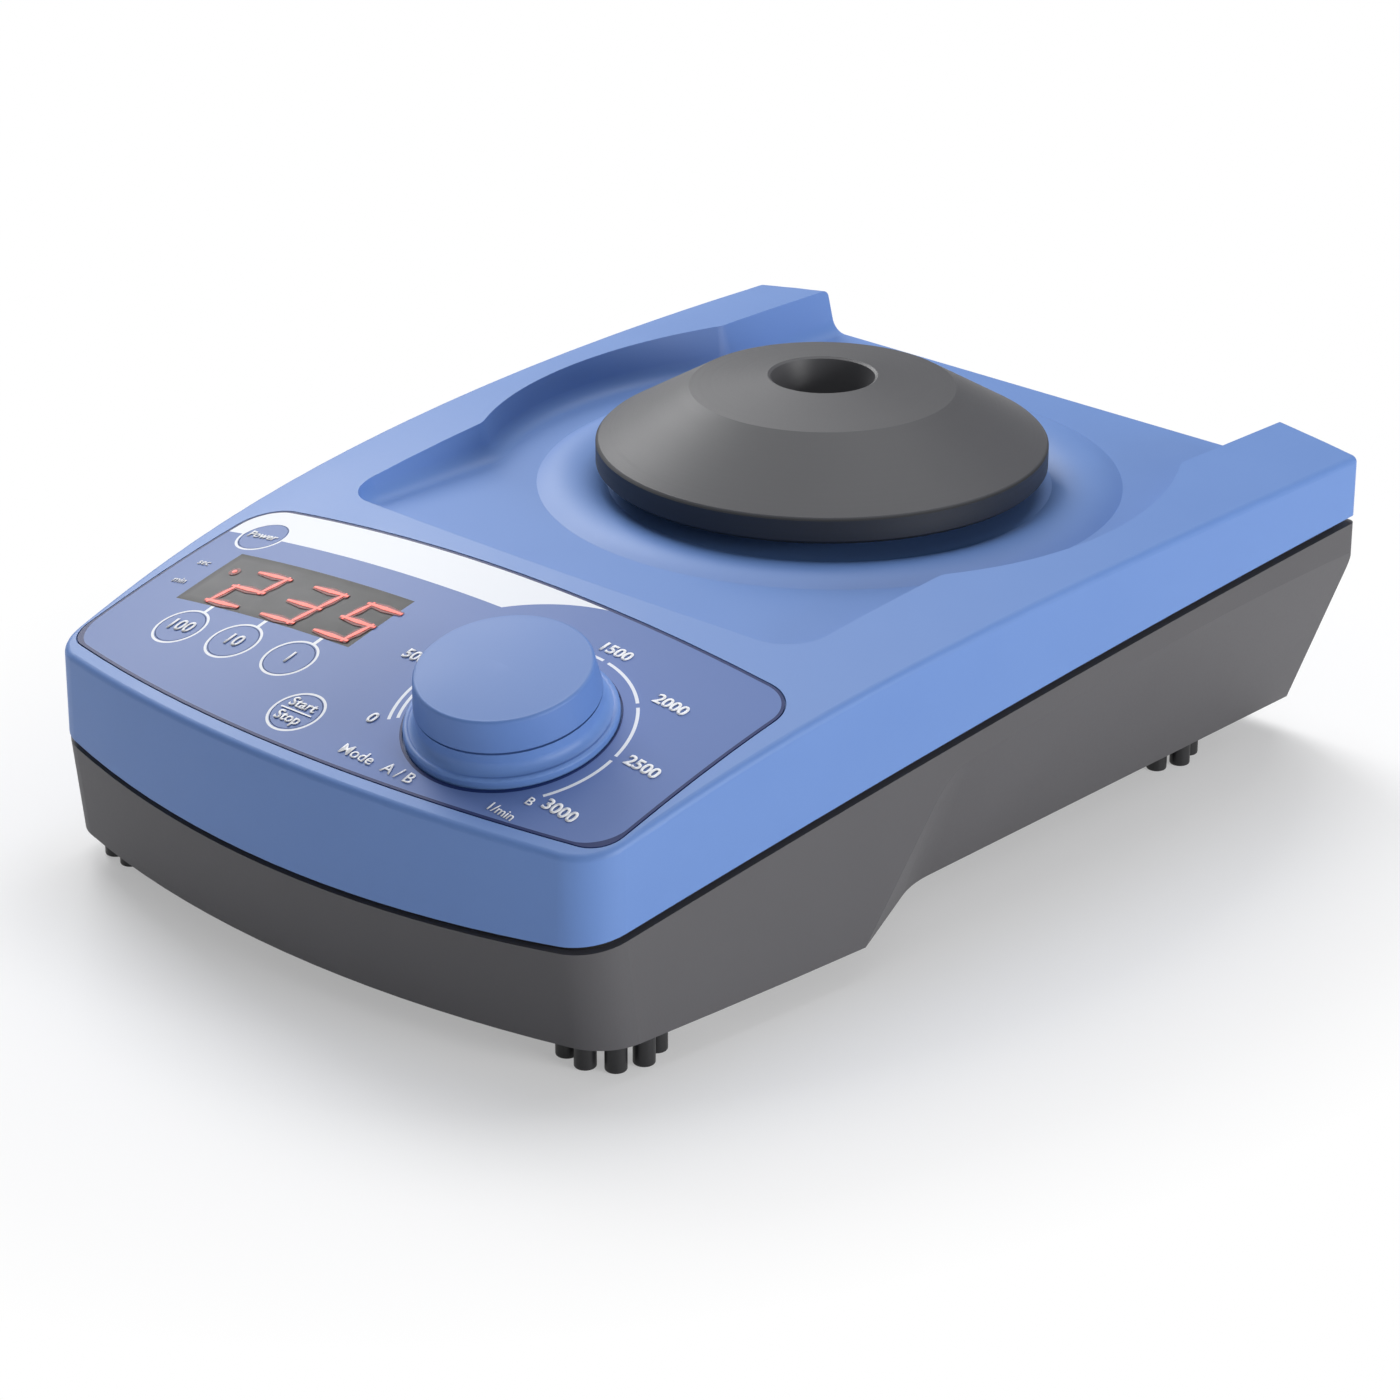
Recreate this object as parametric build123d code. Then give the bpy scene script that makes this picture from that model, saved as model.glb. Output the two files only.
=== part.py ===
# Orbital microplate shaker with a round rubber platform. Millimetres, +X right, +Y back, +Z up.
# The origin is on the bench under the middle of the body. The drive axis stands behind the middle.
import os
from math import cos, degrees, hypot, radians, sin, tan

from build123d import *

# Rows from the front of the body to its back, each measured on from the one before it
film_front_inset = 3.1
start_row = 7.8
number_row = 10.5
window_row = 14.8
power_row = 14.3
film_back_row = 9.6
deck_row = 3.5
drive_row = 77.45
rear_row = 63.75
knob_row = 6.1

# Body outline, seen from above
half_width = 74.0
widest_from_rear = 35.8
side_radius = 1458.0
front_radius = 222.0
front_corner_radius = 9.7
rear_corner_radius = 1.6

# Arched top surface: heights along the middle of the body, and their places from its ends
crown_radius = 450.0
crown_front_heights = [(-12.6, 39.0), (0, 42.9), (42.4, 54.1)]
crown_middle_height = 62.0
crown_rear_heights = [(-36.0, 64.3), (10.0, 63.8)]
top_edge_radius = 1.3

# Seam between the top housing and the base, an arc seen from the side
seam_front_z = 23.6
seam_middle_z = 39.6
seam_rear_z = 46.6
seam_gap = 1.5
gasket_inset = 1.6
gasket_rear_inset = 4.5
gasket_width = 2.0

# Walls
housing_wall = 3.0
base_wall = 3.0
base_floor = 3.0
foot_height = 6.0
base_front_slope = 0.125
base_front_top = 26.0

# Undercut sides of the base
scoop_inset = 13.5
scoop_lean_front = 0.455
scoop_lean_rear = 0.385
scoop_bottom_lead = 73.05
scoop_bottom_lift = 1.3
scoop_top_lead = 54.65
scoop_top_height = 28.2
scoop_corner_lead = 47.15
scoop_run_in = 25.6
scoop_edge_inset = 2.0
scoop_blend_radius = 24.0

# Platform recess in the top housing
well_floor_z = 52.2
rail_width = 18.0
well_rim_z = 60.5
well_lean = 15.0
well_front_radius = 310.0
well_bulge_radius = 65.3
well_bulge_lead = 1.25
well_front_corner = 8.0
well_bulge_blend = 6.0
well_foot_radius = 3.5

# Drive: motor axis, eccentric throw and the levels of the stack
throw = 2.25
shaft_radius = 4.0
running_clearance = 0.05
rotor_z = 10.5
rotor_height = 15.0
rotor_radius = 27.0
rotor_wall = 2.6
stator_gap = 0.5
stator_flange_radius = 23.0
stator_flange = 3.0
stator_step = 7.0
bracket_z = 30.0
bracket_thickness = 5.0
bracket_half = 43.0
bracket_corner = 10.0
bracket_post_offset = 34.0
bracket_post_radius = 5.0
shaft_bearing_radius = 8.0
hub_gap = 0.8
hub_radius = 9.0
hub_height = 5.0
counterweight_radius = 24.0
counterweight_thickness = 4.2
journal_radius = 7.5
guide_z = 42.0
guide_thickness = 3.5
guide_radius = 38.0
main_bearing_radius = 12.0
main_bearing_height = 5.0
bearing_shoulder = 1.5

# Idler cranks that keep the head from turning
idler_count = 3
idler_ring_radius = 31.0
idler_pin_radius = 2.0
idler_pin_clearance = 0.25
idler_bearing_radius = 4.5
idler_web_radius = 5.6
idler_web_height = 3.0

# Shaker head and its round platform
neck_radius = 17.5
neck_clearance = 1.25
head_flange_z = 58.0
head_flange_thickness = 3.0
head_flange_radius = 26.0
collar_width = 3.0
head_screw_grip = 5.0
platform_screw_grip = 4.0
collar_top_z = 55.2
spill_ring_radius = 47.5
spill_ring_half_width = 6.5
spill_ring_height = 1.6
platform_radius = 41.55
platform_rim_z = 56.3
platform_rim_height = 4.9
platform_break_radius = 24.45
platform_break_z = 71.0
platform_top_z = 73.2
platform_wall = 3.0
cup_radius = 9.8
cup_floor_radius = 6.0
cup_depth = 10.5

# Control panel
film_thickness = 0.6
film_gap = 0.25
film_side_inset = 9.5
film_back_corner = 7.0
film_front_corner = 6.0
window_from_left = 32.7
window_width = 44.0
window_depth = 15.8
window_ledge = 1.2
panel_tilt = 13.5
key_radius = 4.5
key_gap = 0.12
key_travel = 0.4
key_stem_radius = 1.6
power_from_left = 9.3
hundreds_from_left = 19.6
tens_from_left = 33.3
units_from_left = 47.3
start_from_left = 60.3

# Speed knob on its pedestal
knob_from_right = 34.7
knob_side_tilt = 3.8
pedestal_radius = 18.0
pedestal_lip = 0.9
pedestal_neck_radius = 15.6
pedestal_height = 4.3
knob_gap = 0.5
knob_radius = 15.7
knob_top_radius = 14.95
knob_height = 5.6
knob_crown = 0.7
knob_bore_depth = 4.2
spindle_radius = 3.0
potentiometer_radius = 8.5
potentiometer_height = 8.0
potentiometer_seat = 0.4
bush_wall = 0.95

# Boards and what sits on them
board_thickness = 1.6
board_depth = 13.5
board_left_inset = 5.0
board_knob_gap = 9.3
board_front_inset = 5.4
board_back_inset = 4.2
drive_board_z = 21.0
drive_board_size = (70.0, 42.0)
drive_board_from_ballast = 42.0
capacitor_places = [(-24.0, 6.0), (-12.0, 6.0)]
capacitor_radius = 5.0
capacitor_height = 11.0
drive_board_blocks = [(14.0, 8.0, 20.0, 10.0, 5.0), (8.0, -10.0, 10.0, 10.0, 3.0)]
spacer_radius = 3.0
display_margin = 5.0
switch_size = 6.0
switch_height = 3.5

# Fasteners, feet, ballast and the power inlet
screw_radius = 1.5
screw_head_radius = 2.8
screw_head_height = 2.0
boss_radius = 4.0
housing_screw_length = 39.0
front_screw_inset = (13.5, 40.4)
rear_screw_inset = (24.0, 8.4)
front_foot_inset = (18.0, 23.1)
rear_foot_inset = (25.3, 27.6)
nub_count = 9
nub_ring_radius = 7.5
nub_radius = 1.9
foot_pad_radius = 8.2
foot_pad_thickness = 1.4
ballast_thickness = 8.0
ballast_screw_grip = 1.0
ballast_side_inset = 24.0
ballast_front_inset = 18.4
ballast_rear_inset = 5.4
ballast_hole_inset = (10.0, 12.0)
ballast_hole_pitch = 60.0
inlet_from_right = 42.0
inlet_z = 24.0
inlet_radius = 5.5
inlet_bore_radius = 2.75
inlet_pin_radius = 1.0
inlet_depth = 12.0
inlet_flange = 1.5
inlet_flange_depth = 1.5

# Levels and places that follow from the sizes above
film_depth = start_row + number_row + window_row + power_row + film_back_row
body_length = film_front_inset + film_depth + deck_row + drive_row + rear_row
rear_y = body_length / 2
front_y = -body_length / 2
start_y = front_y + film_front_inset + start_row
number_y = start_y + number_row
window_y = number_y + window_row
power_y = window_y + power_row
film_back_y = power_y + film_back_row
well_front_y = film_back_y + deck_row
axis_y = well_front_y + drive_row
head_y = axis_y - throw
knob_y = number_y + knob_row
widest_y = rear_y - widest_from_rear
well_half_width = half_width - rail_width
well_bulge_y = axis_y - well_bulge_lead
scoop_half_width = half_width - scoop_inset
film_half_width = half_width - film_side_inset
knob_x = film_half_width - knob_from_right
window_x = window_from_left - film_half_width
inlet_x = half_width - inlet_from_right
key_places = {
    "key_power": (power_from_left - film_half_width, power_y),
    "key_hundreds": (hundreds_from_left - film_half_width, number_y),
    "key_tens": (tens_from_left - film_half_width, number_y),
    "key_units": (units_from_left - film_half_width, number_y),
    "key_start_stop": (start_from_left - film_half_width, start_y),
}
board_left = board_left_inset - film_half_width
board_right = knob_x - potentiometer_radius - board_knob_gap
board_front = front_y + board_front_inset
board_back = film_back_y - board_back_inset
ballast_half_width = half_width - ballast_side_inset
ballast_front_y = front_y + ballast_front_inset
ballast_rear_y = rear_y - ballast_rear_inset
drive_board_y = ballast_front_y + drive_board_from_ballast
front_screw_x = half_width - front_screw_inset[0]
rear_screw_x = half_width - rear_screw_inset[0]
front_screws = [(x, front_y + front_screw_inset[1]) for x in (-front_screw_x, front_screw_x)]
rear_screws = [(x, rear_y - rear_screw_inset[1]) for x in (-rear_screw_x, rear_screw_x)]
housing_screw_places = front_screws + rear_screws
foot_places = {
    "foot_front_left": (front_foot_inset[0] - half_width, front_y + front_foot_inset[1]),
    "foot_front_right": (half_width - front_foot_inset[0], front_y + front_foot_inset[1]),
    "foot_rear_left": (rear_foot_inset[0] - half_width, rear_y - rear_foot_inset[1]),
    "foot_rear_right": (half_width - rear_foot_inset[0], rear_y - rear_foot_inset[1]),
}
crown_front = [(front_y + y, z) for y, z in crown_front_heights]
crown_rear = [(rear_y + y, z) for y, z in crown_rear_heights]
crown_line = crown_front + [(0, crown_middle_height)] + crown_rear
side_centre_x = half_width - side_radius
front_centre_y = front_y + front_radius
base_floor_z = foot_height + base_floor
hub_z = bracket_z + bracket_thickness + hub_gap
neck_hole_radius = neck_radius + throw + neck_clearance
bearing_z = guide_z + guide_thickness
crown_axis = Axis((0, 0, crown_rear[0][1] - crown_radius), (0, 1, 0))
drive_axis = Pos(0, axis_y, 0)
head_axis = Pos(0, head_y, 0)
tall = 90.0


def ring(outer, inner, height, z):
    """A round sleeve standing on level z."""
    return Pos(0, 0, z) * extrude(Circle(outer) - Circle(inner), height)


def rod(radius, height, z):
    """A round bar standing on level z."""
    return Pos(0, 0, z) * extrude(Circle(radius), height)


def turned(points):
    """A solid turned about the Z axis from an outline of (radius, height) points."""
    outline = make_face(Polyline(*[(r, 0, z) for r, z in points], close=True))
    return revolve(outline, Axis.Z)


def screw(length):
    """A flat-headed screw hanging down from its head's top at the origin."""
    head = Pos(0, 0, -screw_head_height) * Cone(screw_radius, screw_head_radius, screw_head_height,
                                               align=(Align.CENTER, Align.CENTER, Align.MIN))
    return head + Pos(0, 0, -length) * extrude(Circle(screw_radius), length)


def upward_screw(x, y, length):
    """A screw driven up from the underside of the base."""
    return Pos(x, y, foot_height) * Rotation(180, 0, 0) * screw(length)


def sharp_plan(inset=0.0, rear_inset=None, lead=0.0):
    """The body's outline from above, moved inwards: two long arcs, a straight back and a front arc."""
    back = rear_y - (inset if rear_inset is None else rear_inset)
    outline = Pos(side_centre_x, widest_y) * Circle(side_radius - inset)
    outline &= Pos(-side_centre_x, widest_y) * Circle(side_radius - inset)
    outline &= Pos(0, front_centre_y) * Circle(front_radius - inset + lead)
    return outline & Pos(0, back - body_length) * Rectangle(4 * half_width, 2 * body_length)


def plan(inset=0.0, rear_inset=None):
    """The same outline with its corners rounded."""
    outline = sharp_plan(inset, rear_inset)
    corners = outline.vertices().sort_by(Axis.Y)
    outline = fillet(corners[:2], max(front_corner_radius - inset, 1.0))
    corners = outline.vertices().group_by(Axis.Y)[-1]
    return fillet(corners, max(rear_corner_radius - inset, 0.5))


def crown(drop=0.0):
    """Everything under the arched top surface, lowered by drop."""
    line = Spline(*[(0, y, z - drop) for y, z in crown_line])
    ends = [(0, crown_line[-1][0], 0), (0, crown_line[0][0], 0)]
    outline = make_face(Wire([line, *Polyline(line @ 1, *ends, line @ 0).edges()]))
    sweep_angle = 2 * degrees(half_width * 1.4 / crown_radius)
    return revolve(outline, crown_axis, sweep_angle).rotate(crown_axis, -sweep_angle / 2)


def surface_z(x, y):
    """Height of the top surface at a place on it."""
    line = Spline(*[(0, py, pz) for py, pz in crown_line])
    hit = min((line @ (i / 400) for i in range(401)), key=lambda p: abs(p.Y - y))
    return hit.Z - crown_radius + (crown_radius ** 2 - x ** 2) ** 0.5


def above_seam(lift=0.0):
    """Everything above the seam arc, moved up by lift."""
    arc = ThreePointArc((0, front_y, seam_front_z + lift), (0, 0, seam_middle_z + lift),
                        (0, rear_y, seam_rear_z + lift))
    block = Box(4 * half_width, 1.5 * body_length, tall, align=(Align.CENTER, Align.CENTER, Align.MIN))
    centre = arc.arc_center
    barrel = Plane.YZ * Pos(centre.Y, centre.Z) * Circle(arc.radius)
    return block - extrude(barrel, 3 * half_width, both=True)


def well(grow=0.0):
    """The recess round the platform, grown by a wall: leaning sides, a round bulge and an open back."""
    level = well_floor_z - grow
    spread = grow / cos(radians(well_lean)) - (well_rim_z - level) * tan(radians(well_lean))
    half = well_half_width + spread
    apex = well_front_y - spread
    reach = rear_y + 20
    outline = Pos(0, (apex + reach) / 2) * Rectangle(2 * half, reach - apex)
    outline &= Pos(0, apex + well_front_radius) * Circle(well_front_radius)
    outline += Pos(0, well_bulge_y) * Circle(well_bulge_radius + spread)
    by_y = outline.vertices().sort_by(Axis.Y)
    outline = fillet(by_y[:2], well_front_corner)
    kinks = [v for v in outline.vertices() if abs(abs(v.X) - half) < 0.5]
    kinks = [v for v in kinks if well_front_y / 2 < v.Y < rear_y - 5]
    outline = fillet(kinks, well_bulge_blend)
    shape = Pos(0, 0, level) * extrude(outline, 16 + grow, taper=-well_lean)
    return fillet(shape.faces().sort_by(Axis.Z)[0].edges(), well_foot_radius)


def scoop(grow=0.0):
    """What is taken off the right side of the base, grown inwards by a wall."""
    rim = 60.0
    sections = []
    front = axis_y - scoop_bottom_lead - scoop_run_in
    for y, lean in ((front, scoop_lean_front), (rear_y + 20, scoop_lean_rear)):
        x = scoop_half_width - grow * hypot(1, lean)
        low = foot_height - 12
        points = [(x + (low - foot_height) * lean, low), (x + (rim - foot_height) * lean, rim)]
        points += [(2 * half_width, rim), (2 * half_width, low)]
        sections.append(make_face(Polyline(*[(px, y, pz) for px, pz in points], close=True)))
    wedge = loft(sections, ruled=True)
    side = half_width - scoop_edge_inset
    bottom = Vector(side, axis_y - scoop_bottom_lead, foot_height + scoop_bottom_lift)
    top = Vector(side, axis_y - scoop_top_lead, scoop_top_height)
    corner = Vector(scoop_half_width, axis_y - scoop_corner_lead, foot_height)
    facing = (corner - bottom).cross(top - bottom).normalized()
    cut = Plane(corner - facing * grow, x_dir=(top - bottom).normalized(), z_dir=facing)
    wedge &= cut * Box(400, 400, 200, align=(Align.CENTER, Align.CENTER, Align.MIN))
    inside = [e for e in wedge.edges() if abs((e @ 0.5).Y - cut.origin.Y) < 40]
    inside = [e for e in inside if (e @ 0.5).X < half_width + 2]
    inside = [e for e in inside if (e % 0.5).Z ** 2 > 0.5 and (e @ 0.5).Z < rim - 5]
    return fillet(inside, scoop_blend_radius)


def both_sides(shape):
    return [shape, mirror(shape, Plane.YZ)]


def knob_place():
    """The knob's axis, square to the panel where it stands."""
    height = surface_z(knob_x, knob_y)
    return Plane(Location((knob_x, knob_y, height), (panel_tilt, knob_side_tilt, 0)))


def panel_place(x, y):
    """A plane on the top surface with the tilt of the control board."""
    return Plane(Location((x, y, surface_z(x, y)), (panel_tilt, 0, 0)))


def board_place():
    """The control board's upper face."""
    middle = (board_left + board_right) / 2
    spot = panel_place(middle, (board_front + board_back) / 2)
    return spot.offset(-board_depth + board_thickness)


def film_outline(grow=0.0):
    """The keypad film from above: straight back and sides, and a front that follows the body."""
    outline = Pos(0, front_centre_y) * Circle(front_radius - film_front_inset + grow)
    half = film_half_width + grow
    back = film_back_y + grow
    outline &= Pos(0, back - body_length / 2) * Rectangle(2 * half, body_length)
    corners = outline.vertices().sort_by(Axis.Y)
    front = film_front_corner + grow
    rear = film_back_corner + grow
    outline = fillet(corners[:2], front)
    return fillet(outline.vertices().sort_by(Axis.Y)[-2:], rear)


def window_outline(shrink=0.0):
    spot = Pos(window_x, window_y)
    return spot * Rectangle(window_width - 2 * shrink, window_depth - 2 * shrink)


def pedestal():
    """The moulded collar under the knob, hollowed towards its neck."""
    foot = pedestal_radius - 1.0
    line = Polyline((0, 0, -housing_wall), (pedestal_radius, 0, -housing_wall),
                    (pedestal_radius, 0, pedestal_lip - 0.4))
    lip = ThreePointArc(line @ 1, (pedestal_radius - 0.2, 0, pedestal_lip - 0.1), (foot, 0, pedestal_lip))
    sweep = ThreePointArc(lip @ 1, (pedestal_neck_radius + 0.35, 0, pedestal_lip + 0.75),
                          (pedestal_neck_radius, 0, pedestal_lip + 1.9))
    cap = Polyline(sweep @ 1, (pedestal_neck_radius, 0, pedestal_height), (0, 0, pedestal_height), line @ 0)
    outline = make_face(Wire([*line.edges(), *lip.edges(), *sweep.edges(), *cap.edges()]))
    return knob_place() * revolve(outline, Axis.Z)


def top_housing():
    """The blue moulded cover: arched top, platform recess, spill ring, pedestal and panel openings."""
    skin = extrude(plan(), tall) & crown()
    skin = fillet(skin.faces().sort_by(Axis.Z)[-1].edges(), top_edge_radius)
    skin -= well()
    hollow = extrude(plan(housing_wall), tall) & crown(housing_wall)
    hollow -= well(housing_wall)
    collar_height = collar_top_z - well_floor_z + 1
    neck = drive_axis * rod(neck_hole_radius + collar_width, collar_height, well_floor_z - 1)
    shell = (skin - hollow) & above_seam()
    shell += neck
    shell += spill_ring()
    shell += pedestal()
    for x, y in housing_screw_places:
        top = surface_z(x, y) if y < well_front_y else well_floor_z
        post = Pos(x, y) * extrude(Circle(boss_radius), top - 1)
        hole = Pos(x, y) * extrude(Circle(screw_radius), top - housing_wall - 1)
        shell += (post & above_seam()) - hole
    shell -= drive_axis * rod(neck_hole_radius, 20, well_floor_z - 10)
    shell -= extrude(film_outline(film_gap), tall) - crown(film_thickness) - pedestal_shadow()
    shell -= extrude(window_outline(window_ledge), tall)
    shell -= knob_place() * rod(spindle_radius + bush_wall, 20, -10)
    for x, y in key_places.values():
        shell -= panel_place(x, y) * rod(key_radius + key_gap, 12, -8)
    return shell


def pedestal_shadow():
    """The round place in the film recess that the pedestal fills."""
    return knob_place() * rod(pedestal_radius, 20, -8)


def spill_ring():
    """A low rounded ridge round the neck hole, outside the rim of the platform."""
    inner = spill_ring_radius - spill_ring_half_width
    outer = spill_ring_radius + spill_ring_half_width
    arc = ThreePointArc((inner, 0, 0), (spill_ring_radius, 0, spill_ring_height), (outer, 0, 0))
    base = Polyline(arc @ 1, (outer, 0, -1), (inner, 0, -1), arc @ 0)
    ridge = revolve(make_face(Wire([*arc.edges(), *base.edges()])), Axis.Z)
    return Pos(0, axis_y, well_floor_z) * ridge


def base_form(inset=0.0):
    """The base's outer form: the body's outline, leaning in at the front, with undercut sides."""
    reach = front_radius - inset
    toe = reach - base_front_top * base_front_slope
    draft = turned([(0, 0), (toe, 0), (toe + tall * base_front_slope, tall), (0, tall)])
    block = extrude(sharp_plan(inset, lead=tall * base_front_slope), tall)
    form = block & Pos(0, front_centre_y, 0) * draft
    corners = form.edges().filter_by(lambda e: abs((e @ 1).Z - (e @ 0).Z) > tall / 2).sort_by(Axis.Y)
    form = fillet(corners[:2], front_corner_radius - inset)
    corners = form.edges().filter_by(lambda e: abs((e @ 1).Z - (e @ 0).Z) > tall / 2).sort_by(Axis.Y)
    form = fillet(corners[-2:], max(rear_corner_radius - inset, 0.5))
    for side in both_sides(scoop(inset)):
        form -= side
    return form


def base_housing():
    """The grey cast base: floor, drafted front, undercut sides, screw posts and foot pockets."""
    form = base_form()
    form -= Pos(0, 0, -tall + foot_height) * extrude(Rectangle(2 * body_length, 2 * body_length), tall)
    hollow = base_form(base_wall)
    hollow -= Pos(0, 0, -tall + base_floor_z) * extrude(Rectangle(2 * body_length, 2 * body_length), tall)
    form -= hollow
    for x, y in housing_screw_places:
        form += Pos(x, y, foot_height) * extrude(Circle(boss_radius), tall / 2)
    form -= above_seam(-seam_gap)
    for x, y in bracket_posts():
        form += Pos(x, y) * rod(bracket_post_radius, bracket_z - foot_height - 1, foot_height + 1)
    for x, y in housing_screw_places + bracket_posts():
        form -= upward_screw(x, y, housing_screw_length + 1)
    for x, y in ballast_holes():
        form -= Pos(x, y) * rod(screw_radius, ballast_screw_grip, base_floor_z - ballast_screw_grip)
    for x, y in foot_places.values():
        form -= Pos(x, y, foot_height - 1) * extrude(Circle(foot_pad_radius), foot_pad_thickness + 1)
    tunnel = Pos(inlet_x, rear_y, inlet_z) * Rotation(90, 0, 0)
    form -= tunnel * extrude(Circle(inlet_radius + inlet_flange), inlet_flange_depth)
    return form - tunnel * extrude(Circle(inlet_radius), 20)


def seam_gasket():
    """The black strip that fills the seam, set in from the faces."""
    outer = plan(gasket_inset, gasket_rear_inset)
    inner = plan(gasket_inset + gasket_width, gasket_rear_inset + gasket_width)
    return (extrude(outer - inner, tall) & above_seam(-seam_gap)) - above_seam()


def bracket_posts():
    offset = bracket_post_offset
    return [(sx * offset, axis_y + sy * offset) for sx in (-1, 1) for sy in (-1, 1)]


def idler_places():
    reach = idler_ring_radius
    angles = [radians(90 + 360 / idler_count * i) for i in range(idler_count)]
    return [(reach * cos(a), axis_y + reach * sin(a)) for a in angles]


def foot():
    """A rubber foot: a pad in its pocket and a ring of nubs."""
    pad = rod(foot_pad_radius, foot_pad_thickness, foot_height)
    nub = fillet(rod(nub_radius, foot_height, 0).faces().sort_by(Axis.Z)[0].edges(), 0.4)
    for spot in PolarLocations(nub_ring_radius, nub_count):
        pad += spot * nub
    return pad


def ballast_plate():
    """The steel plate on the floor of the base that gives the shaker its weight."""
    length = ballast_rear_y - ballast_front_y
    plate = RectangleRounded(2 * ballast_half_width, length, 6)
    plate = Pos(0, (ballast_rear_y + ballast_front_y) / 2) * plate
    plate -= Pos(0, axis_y) * Circle(rotor_radius + 4)
    for x, y in bracket_posts() + housing_screw_places:
        plate -= Pos(x, y) * Circle(bracket_post_radius + 0.6)
    for x, y in ballast_holes() + drive_board_corners():
        plate -= Pos(x, y) * Circle(screw_radius)
    return Pos(0, 0, base_floor_z) * extrude(plate, ballast_thickness)


def ballast_holes():
    inset, lead = ballast_hole_inset
    rows = (ballast_front_y + lead, ballast_front_y + lead + ballast_hole_pitch)
    return [(side * (ballast_half_width - inset), y) for y in rows for side in (-1, 1)]


def drive_board_corners():
    width, depth = drive_board_size
    return [(sx * (width / 2 - 4), drive_board_y + sy * (depth / 2 - 4)) for sx in (-1, 1) for sy in (-1, 1)]


def motor_bracket():
    """The cast plate over the motor that carries the shaft bearing and the three idler bearings."""
    plate = Pos(0, axis_y) * RectangleRounded(2 * bracket_half, 2 * bracket_half, bracket_corner)
    plate -= Pos(0, axis_y) * Circle(shaft_bearing_radius)
    for x, y in idler_places():
        plate -= Pos(x, y) * Circle(idler_bearing_radius)
    for x, y in bracket_posts() + stator_holes():
        plate -= Pos(x, y) * Circle(screw_radius)
    for side in (-1, 1):
        plate -= Pos(side * (bracket_half + 2), axis_y) * Circle(bracket_post_offset / 2 - 3)
    return Pos(0, 0, bracket_z) * extrude(plate, bracket_thickness)


def stator_holes():
    reach = stator_flange_radius - 5
    return [(reach * cos(radians(a)), axis_y + reach * sin(radians(a))) for a in (30, 150, 270)]


def motor_stator():
    """The motor's fixed core and its mounting flange."""
    core = rotor_radius - rotor_wall - stator_gap
    bore = shaft_radius + running_clearance
    top = bracket_z
    low = rotor_z + rotor_wall + 1
    open_z = rotor_z + rotor_height
    waist = core - stator_step
    seat = top - stator_flange
    body = turned([(bore, low), (core, low), (core, open_z), (waist, open_z + 1), (waist, seat),
                   (stator_flange_radius, seat), (stator_flange_radius, top), (bore, top)])
    body = drive_axis * body
    for x, y in stator_holes():
        body -= Pos(x, y, top - stator_flange) * extrude(Circle(screw_radius), stator_flange)
    return body


def motor_rotor():
    """The bell of the outer-rotor motor, closed at the bottom and pressed on the shaft."""
    top = rotor_z + rotor_height
    inner = rotor_radius - rotor_wall
    bell = turned([(shaft_radius, rotor_z), (rotor_radius, rotor_z), (rotor_radius, top), (inner, top),
                   (inner, rotor_z + rotor_wall), (shaft_radius, rotor_z + rotor_wall)])
    for spot in PolarLocations(rotor_radius * 0.6, 6):
        bell -= spot * rod(3.0, rotor_wall, rotor_z)
    return drive_axis * bell


def eccentric():
    """The steel hub on the shaft with the offset journal that carries the head."""
    hub = drive_axis * ring(hub_radius, shaft_radius, hub_height, hub_z)
    journal_z = hub_z + hub_height
    journal = head_axis * rod(journal_radius, bearing_z + main_bearing_height - journal_z, journal_z)
    return hub + journal


def counterweight():
    """The brass half disc that balances the head, opposite to the throw."""
    half = Pos(0, counterweight_radius) * Rectangle(3 * counterweight_radius, 2 * counterweight_radius)
    disc = Circle(counterweight_radius) & half
    lug = Circle(hub_radius + 3)
    outline = disc + lug - Circle(hub_radius)
    return Pos(0, axis_y, hub_z) * extrude(outline, counterweight_thickness)


def idler_crank():
    """One idler: a lower journal in the bracket, a web and an upper pin in the guide plate."""
    web_z = bracket_z + bracket_thickness + hub_gap
    crank = rod(idler_pin_radius, web_z - bracket_z, bracket_z)
    crank += rod(idler_web_radius, idler_web_height, web_z)
    pin_z = web_z + idler_web_height
    return crank + Pos(0, -throw) * rod(idler_pin_radius, guide_z + guide_thickness - pin_z, pin_z)


def guide_plate():
    """The round plate under the head whose three bores run on the idler pins."""
    plate = Circle(guide_radius) - Circle(journal_radius + 2.5)
    for x, y in idler_places():
        plate -= Pos(x, y - axis_y) * Circle(idler_pin_radius + idler_pin_clearance)
    for x, y in head_screw_places():
        plate -= Pos(x, y) * Circle(screw_radius)
    for spot in PolarLocations(guide_radius - 12, idler_count, start_angle=30 - 60):
        plate -= spot * Circle(5.5)
    return Pos(0, head_y, guide_z) * extrude(plate, guide_thickness)


def head_screw_places():
    reach = (neck_radius + main_bearing_radius) / 2
    return [(reach * cos(radians(a)), reach * sin(radians(a))) for a in (45, 135, 225, 315)]


def shaker_head():
    """The turned aluminium neck and flange, with the bearing pocket in its foot."""
    flange_top = head_flange_z + head_flange_thickness
    pocket = bearing_z + main_bearing_height
    head = turned([(main_bearing_radius, bearing_z), (neck_radius, bearing_z), (neck_radius, head_flange_z),
                   (head_flange_radius, head_flange_z), (head_flange_radius, flange_top), (0, flange_top),
                   (0, pocket + 1), (main_bearing_radius - bearing_shoulder, pocket + 1),
                   (main_bearing_radius - bearing_shoulder, pocket), (main_bearing_radius, pocket)])
    for x, y in head_screw_places():
        head -= Pos(x, y, bearing_z) * extrude(Circle(screw_radius), head_screw_grip + 1)
    for x, y in platform_screw_places():
        head -= Pos(x, y, head_flange_z) * extrude(Circle(screw_radius), head_flange_thickness)
    return head_axis * head


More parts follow.
